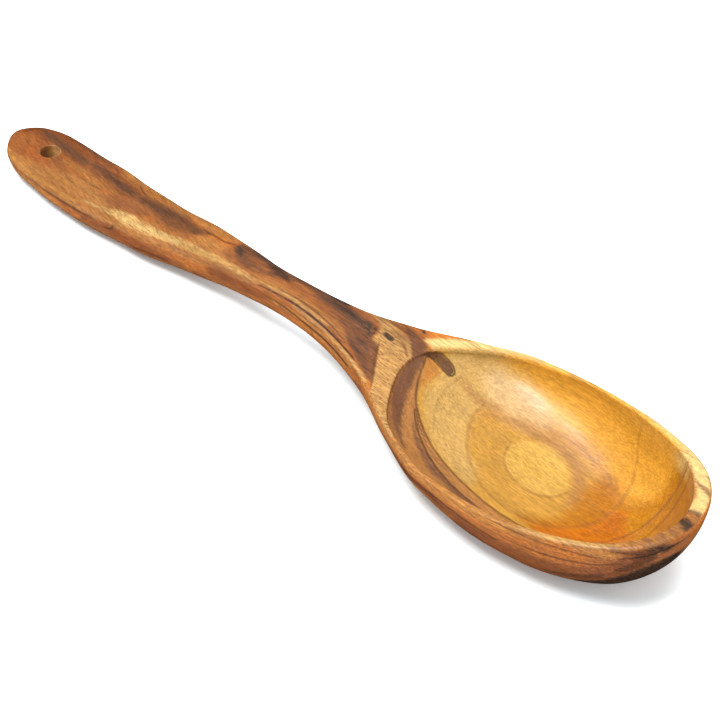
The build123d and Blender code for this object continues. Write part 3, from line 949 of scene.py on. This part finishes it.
class Surface:
    """A material, with one short method for each kind of node that it needs."""

    def __init__(self, name):
        self.material = bpy.data.materials.new(name)
        self.material.use_nodes = True
        self.tree = self.material.node_tree
        self.shader = self.tree.nodes["Principled BSDF"]

    def node(self, kind, inputs, **settings):
        made = self.tree.nodes.new(kind)
        for key, value in settings.items():
            setattr(made, key, value)
        for key, value in inputs.items():
            if isinstance(value, bpy.types.NodeSocket):
                self.tree.links.new(value, made.inputs[key])
            else:
                made.inputs[key].default_value = value
        return made

    def drive(self, socket, value):
        """Link a value into one of the shader's own sockets."""
        self.tree.links.new(value, self.shader.inputs[socket])

    def field(self, name):
        return self.node("ShaderNodeAttribute", {}, attribute_name=name).outputs["Fac"]

    def math(self, operation, *values):
        return self.node("ShaderNodeMath", dict(enumerate(values)), operation=operation).outputs[0]

    def ramp(self, value, low, high, to_low=0.0, to_high=1.0):
        """From to_low, where the value is low, to to_high, where it is high."""
        inputs = {"Value": value, "From Min": low, "From Max": high, "To Min": to_low, "To Max": to_high}
        return self.node("ShaderNodeMapRange", inputs, interpolation_type="SMOOTHSTEP").outputs["Result"]

    def number_mix(self, factor, under, over):
        return self.node("ShaderNodeMix", {0: factor, 2: under, 3: over}, data_type="FLOAT").outputs[0]

    def mix(self, factor, under, over, blend="MIX"):
        inputs = {0: factor, 6: under, 7: over}
        return self.node("ShaderNodeMix", inputs, data_type="RGBA", blend_type=blend).outputs[2]

    def noise(self, cells, detail, roughness=0.55, turn=0.0):
        """Noise in cells of the given sizes along, across and through the wood, in millimetres."""
        place = self.node("ShaderNodeTexCoord", {}).outputs["Object"]
        scale = tuple(1 / (size * MM) for size in cells)
        turned = self.node("ShaderNodeMapping", {"Vector": place, "Rotation": (0, 0, math.radians(turn))})
        moved = self.node("ShaderNodeMapping", {"Vector": turned.outputs[0], "Scale": scale})
        inputs = {"Vector": moved.outputs[0], "Scale": 1.0, "Detail": detail, "Roughness": roughness}
        return self.node("ShaderNodeTexNoise", inputs).outputs["Fac"]

    def grain(self, cells, detail, low, high, spread=0.16, **noise):
        """Noise as a number from low to high, which the noise's middle range fills."""
        return self.ramp(self.noise(cells, detail, **noise), 0.5 - spread, 0.5 + spread, low, high)

    def wander(self, cells, detail):
        """Noise as an offset to both sides of 0."""
        return self.math("SUBTRACT", self.noise(cells, detail), 0.5)


def colour_of(name):
    return (*PALETTE[name], 1.0)


def paint_marks(wood, colour, wander):
    """Lay every mark over the ground, with an edge as soft and as ragged as it says."""
    for number, mark in enumerate(MARKS):
        field = wood.math("MULTIPLY_ADD", wander, mark.raggedness * 2, wood.field(f"mark_{number}"))
        mask = wood.ramp(field, -mark.softness, mark.softness, 0.0, mark.strength)
        colour = wood.mix(mask, colour, colour_of(mark.colour))
    return colour


def line_mask(wood, number, wiggle):
    """Where a set of thin lines shows, and how strongly."""
    offset = wood.math("MULTIPLY_ADD", wiggle, LINE_WIGGLE, wood.field(f"line_offset_{number}"))
    beyond = wood.math("SUBTRACT", wood.math("ABSOLUTE", offset), wood.field(f"line_width_{number}"))
    shown = wood.ramp(beyond, LINE_BLUR, -LINE_CORE)
    return wood.math("MULTIPLY", shown, wood.field(f"line_strength_{number}"))


def grain_shade(wood, hollow, lean, wander):
    """How much of the colour the grain leaves: broad bands, fibres, fine fibres and rings."""
    broad = wood.grain((60, 4, 4), detail=3, low=0.455, high=0.545, spread=0.2)
    straight = wood.grain((12, 0.7, 0.7), detail=5, low=0.74, high=1.20, roughness=0.7)
    slanted = wood.grain((7, 0.9, 0.9), detail=5, low=0.78, high=1.14, roughness=0.7, turn=LEAN_ANGLE)
    straight = wood.math("MULTIPLY", straight, wood.math("SUBTRACT", 1.0, lean))
    fibres = wood.math("MULTIPLY_ADD", slanted, lean, straight)
    calm = wood.math("MULTIPLY_ADD", fibres, HOLLOW_FIBRES, 1 - HOLLOW_FIBRES)
    fibres = wood.number_mix(hollow, fibres, calm)
    fine = wood.grain((3.4, 0.36, 0.36), detail=2, low=0.82, high=1.13)
    shade = wood.math("MULTIPLY", wood.math("MULTIPLY", broad, fibres), fine)

    place = wood.node("ShaderNodeCombineXYZ", {"X": wood.field("ring"), "Y": 0.0, "Z": wander})
    rings = {"Vector": place.outputs[0], "Scale": RING_SCALE, "Detail": 3.0}
    rings = wood.node("ShaderNodeTexNoise", rings).outputs["Fac"]
    rings = wood.ramp(rings, 0.35, 0.65, to_low=-RING_SHADE, to_high=RING_LIGHT)
    return wood.math("MULTIPLY", shade, wood.math("MULTIPLY_ADD", rings, hollow, 1.0))


def pore_mask(wood, lean):
    """Short open pores, which lean with the fibres along the handle."""
    straight = wood.noise((2.0, 0.42, 0.42), detail=2)
    slanted = wood.noise((3.0, 0.5, 0.5), detail=2, turn=LEAN_ANGLE)
    open_ones = wood.ramp(wood.number_mix(lean, straight, slanted), *PORE_EDGE)
    return wood.math("MULTIPLY", open_ones, wood.field("pores"))


def relief(wood, lines, pores):
    """The fibres stand out, and the thin lines and the pores are sunk, in millimetres."""
    fibres = wood.noise((10, 0.5, 0.5), detail=5, roughness=0.65)
    height = wood.math("MULTIPLY_ADD", fibres, FIBRE_HEIGHT, wood.math("MULTIPLY", lines, -LINE_DEPTH))
    height = wood.math("MULTIPLY_ADD", pores, -PORE_DEPTH, height)
    bump = {"Strength": BUMP_STRENGTH, "Distance": MM, "Height": height}
    return wood.node("ShaderNodeBump", bump).outputs["Normal"]


def make_wood():
    wood = Surface("oiled_wood")
    fine_wander = wood.wander((2.2, 0.5, 0.5), detail=3)
    long_wander = wood.wander((9, 1.3, 1.3), detail=4)
    wander = wood.math("MULTIPLY_ADD", fine_wander, FINE_WANDER_SHARE, long_wander)
    hollow = wood.ramp(wood.field("hollow"), *HOLLOW_EDGE)
    side = wood.ramp(wood.field("side"), *SIDE_EDGE)
    lean = wood.field("lean")

    colour = wood.mix(hollow, colour_of("russet"), colour_of("amber"))
    colour = wood.mix(side, colour, colour_of("sienna"))
    colour = paint_marks(wood, colour, wander)
    masks = [line_mask(wood, number, fine_wander) for number in range(len(LINES))]
    for mask, (_, ink, _) in zip(masks, LINES):
        colour = wood.mix(mask, colour, colour_of(ink))
    colour = wood.mix(1.0, colour, grain_shade(wood, hollow, lean, wander), "MULTIPLY")
    pores = pore_mask(wood, lean)
    colour = wood.mix(wood.math("MULTIPLY", pores, PORE_STRENGTH), colour, colour_of("pore"))

    roughness = wood.grain((20, 3, 3), detail=4, low=0.36, high=0.52, spread=0.2)
    roughness = wood.math("MULTIPLY_ADD", hollow, -HOLLOW_POLISH, roughness)
    lines = masks[0]
    for mask in masks[1:]:
        lines = wood.math("MAXIMUM", lines, mask)
    wood.drive("Base Color", colour)
    wood.drive("Roughness", roughness)
    wood.drive("Normal", relief(wood, lines, pores))
    wood.shader.inputs["IOR"].default_value = 1.45
    return wood.material


# ---- Camera, floor and lights, in metres and degrees ----

CAMERA_AZIMUTH = 35.17
CAMERA_ELEVATION = 47.19
CAMERA_ROLL = 6.09
CAMERA_DISTANCE = 0.5800
CAMERA_LENS = 87.5
SENSOR_WIDTH = 36
NEAREST_SEEN = 0.01
CAMERA_AIM = Vector((0.0235, -0.0031, 0.015))
LIGHTS_AIM = Vector((0, 0, 0.01))
WORLD_STRENGTH = 1.2
FLOOR_REACH = 3.0
FLOOR_COLOUR = (0.85, 0.925, 0.955, 1)
FLOOR_ROUGHNESS = 0.9


def direction(azimuth, elevation):
    """Towards a compass bearing and a height above the horizon. Azimuth 0 is the near side, -Y."""
    a, e = math.radians(azimuth), math.radians(elevation)
    return Vector((math.sin(a) * math.cos(e), -math.cos(a) * math.cos(e), math.sin(e)))


def aim(thing, place, target, roll=0.0):
    back = (place - target).normalized()
    right = Vector((0, 0, 1)).cross(back).normalized()
    up = back.cross(right)
    turn = math.radians(roll)
    tilted = right * math.cos(turn) + up * math.sin(turn)
    basis = Matrix((tilted, back.cross(tilted), back)).transposed()
    thing.matrix_world = Matrix.Translation(place) @ basis.to_4x4()


def add_camera():
    data = bpy.data.cameras.new("camera")
    data.lens = CAMERA_LENS
    data.sensor_width = SENSOR_WIDTH
    data.clip_start = NEAREST_SEEN
    camera = put_in_scene("camera", data)
    place = CAMERA_AIM + direction(CAMERA_AZIMUTH, CAMERA_ELEVATION) * CAMERA_DISTANCE
    aim(camera, place, CAMERA_AIM, CAMERA_ROLL)
    bpy.context.scene.camera = camera


def add_light(name, azimuth, elevation, distance, size, watts, colour, glossy):
    """A square lamp aimed at the spoon. One that isn't glossy gives light but no reflection."""
    data = bpy.data.lights.new(name, "AREA")
    data.size = size
    data.energy = watts
    data.color = colour
    light = put_in_scene(name, data)
    aim(light, direction(azimuth, elevation) * distance, LIGHTS_AIM)
    light.visible_glossy = glossy


def add_world():
    world = bpy.data.worlds.new("studio")
    bpy.context.scene.world = world
    world.use_nodes = True
    background = world.node_tree.nodes["Background"]
    background.inputs["Color"].default_value = (1, 1, 1, 1)
    background.inputs["Strength"].default_value = WORLD_STRENGTH
    world.cycles_visibility.glossy = False


def add_floor():
    corners = np.array([(-1, -1, 0), (1, -1, 0), (1, 1, 0), (-1, 1, 0)])
    floor = make_object("floor", FLOOR_REACH / MM * corners, [(0, 1, 2, 3)])
    pale = Surface("pale_floor")
    pale.shader.inputs["Base Color"].default_value = FLOOR_COLOUR
    pale.shader.inputs["Roughness"].default_value = FLOOR_ROUGHNESS
    floor.data.materials.append(pale.material)
    floor.visible_glossy = False


bpy.context.scene.view_settings.view_transform = "Standard"
add_camera()
add_world()
add_floor()
add_light("key", azimuth=150, elevation=80, distance=1.4, size=0.45, watts=10,
          colour=(1, 0.98, 0.95), glossy=False)
add_light("gloss", azimuth=-12, elevation=70, distance=1.2, size=0.36, watts=15,
          colour=(1, 0.96, 0.94), glossy=True)

spoon = make_spoon()
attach(spoon, "root")
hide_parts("spoon")
